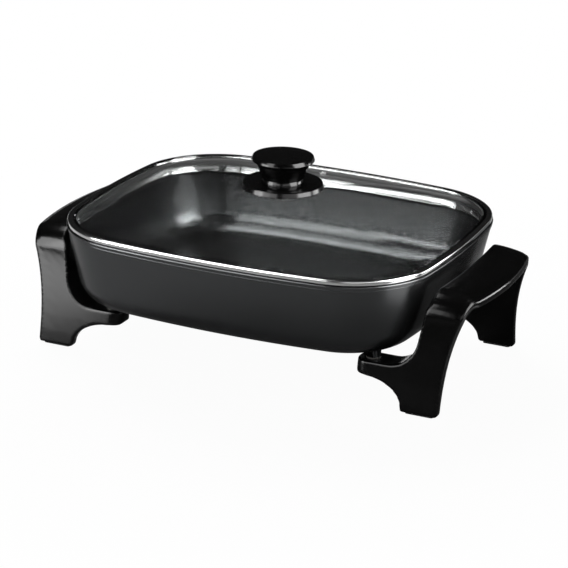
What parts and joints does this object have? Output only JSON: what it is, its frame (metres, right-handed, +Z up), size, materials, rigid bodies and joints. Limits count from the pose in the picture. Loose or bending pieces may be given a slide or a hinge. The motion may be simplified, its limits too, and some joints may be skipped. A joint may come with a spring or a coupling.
{
  "type": "electric skillet",
  "caption": "Rounded rectangular electric frying pan on moulded handle-and-leg frames, with a domed glass lid that lifts off by a round knob.",
  "frame": {"origin": "centre of the bounding box on the table, under the middle of the pan", "axes": "+X along the long side towards the handle without the inlet, +Y across towards the lid's steam vent, +Z up"},
  "size_m": [0.474, 0.324, 0.1952],
  "materials": {
    "pan_coating": "dark charcoal non-stick coating on cast metal",
    "sheath_steel": "sheathed element",
    "pin_steel": "plated pins",
    "ceramic": "stands for glazed ceramic",
    "guard_plastic": "black moulding",
    "handle_plastic": "satin black heat-resistant moulding",
    "screw_steel": "zinc-plated",
    "spacer_board": "heat-insulating board",
    "foot_rubber": "rubber",
    "lid_glass": "clear tempered glass",
    "ring_steel": "polished stainless steel",
    "seal_rubber": "black silicone",
    "eyelet_steel": "stainless steel",
    "knob_plastic": "satin black heat-resistant moulding",
    "insert_brass": "plain"
  },
  "bodies": {
    "base": {"pan_body": "pan_coating", "heating_element": "sheath_steel", "terminal_pins": "pin_steel", "pin_insulators": "ceramic", "inlet_guard": "guard_plastic", "inlet_screws": "screw_steel", "left_handle_frame": "handle_plastic", "right_handle_frame": "handle_plastic", "frame_screws": "screw_steel", "left_front_spacer": "spacer_board", "left_rear_spacer": "spacer_board", "right_front_spacer": "spacer_board", "right_rear_spacer": "spacer_board", "left_front_foot": "foot_rubber", "left_rear_foot": "foot_rubber", "right_front_foot": "foot_rubber", "right_rear_foot": "foot_rubber"},
    "lid": {"lid_glass": "lid_glass", "lid_ring": "ring_steel", "lid_seal": "seal_rubber", "vent_eyelet": "eyelet_steel", "knob_shield": "knob_plastic", "knob_grip": "knob_plastic", "knob_insert": "insert_brass", "knob_gasket": "seal_rubber", "knob_underseal": "seal_rubber", "knob_washer": "screw_steel", "knob_screw": "screw_steel"}
  },
  "joints": [
    {"name": "lid_lift", "type": "slide", "parent": "base", "child": "lid", "axis": [0, 0, 1], "range_m": [0, 0.12]}
  ]
}
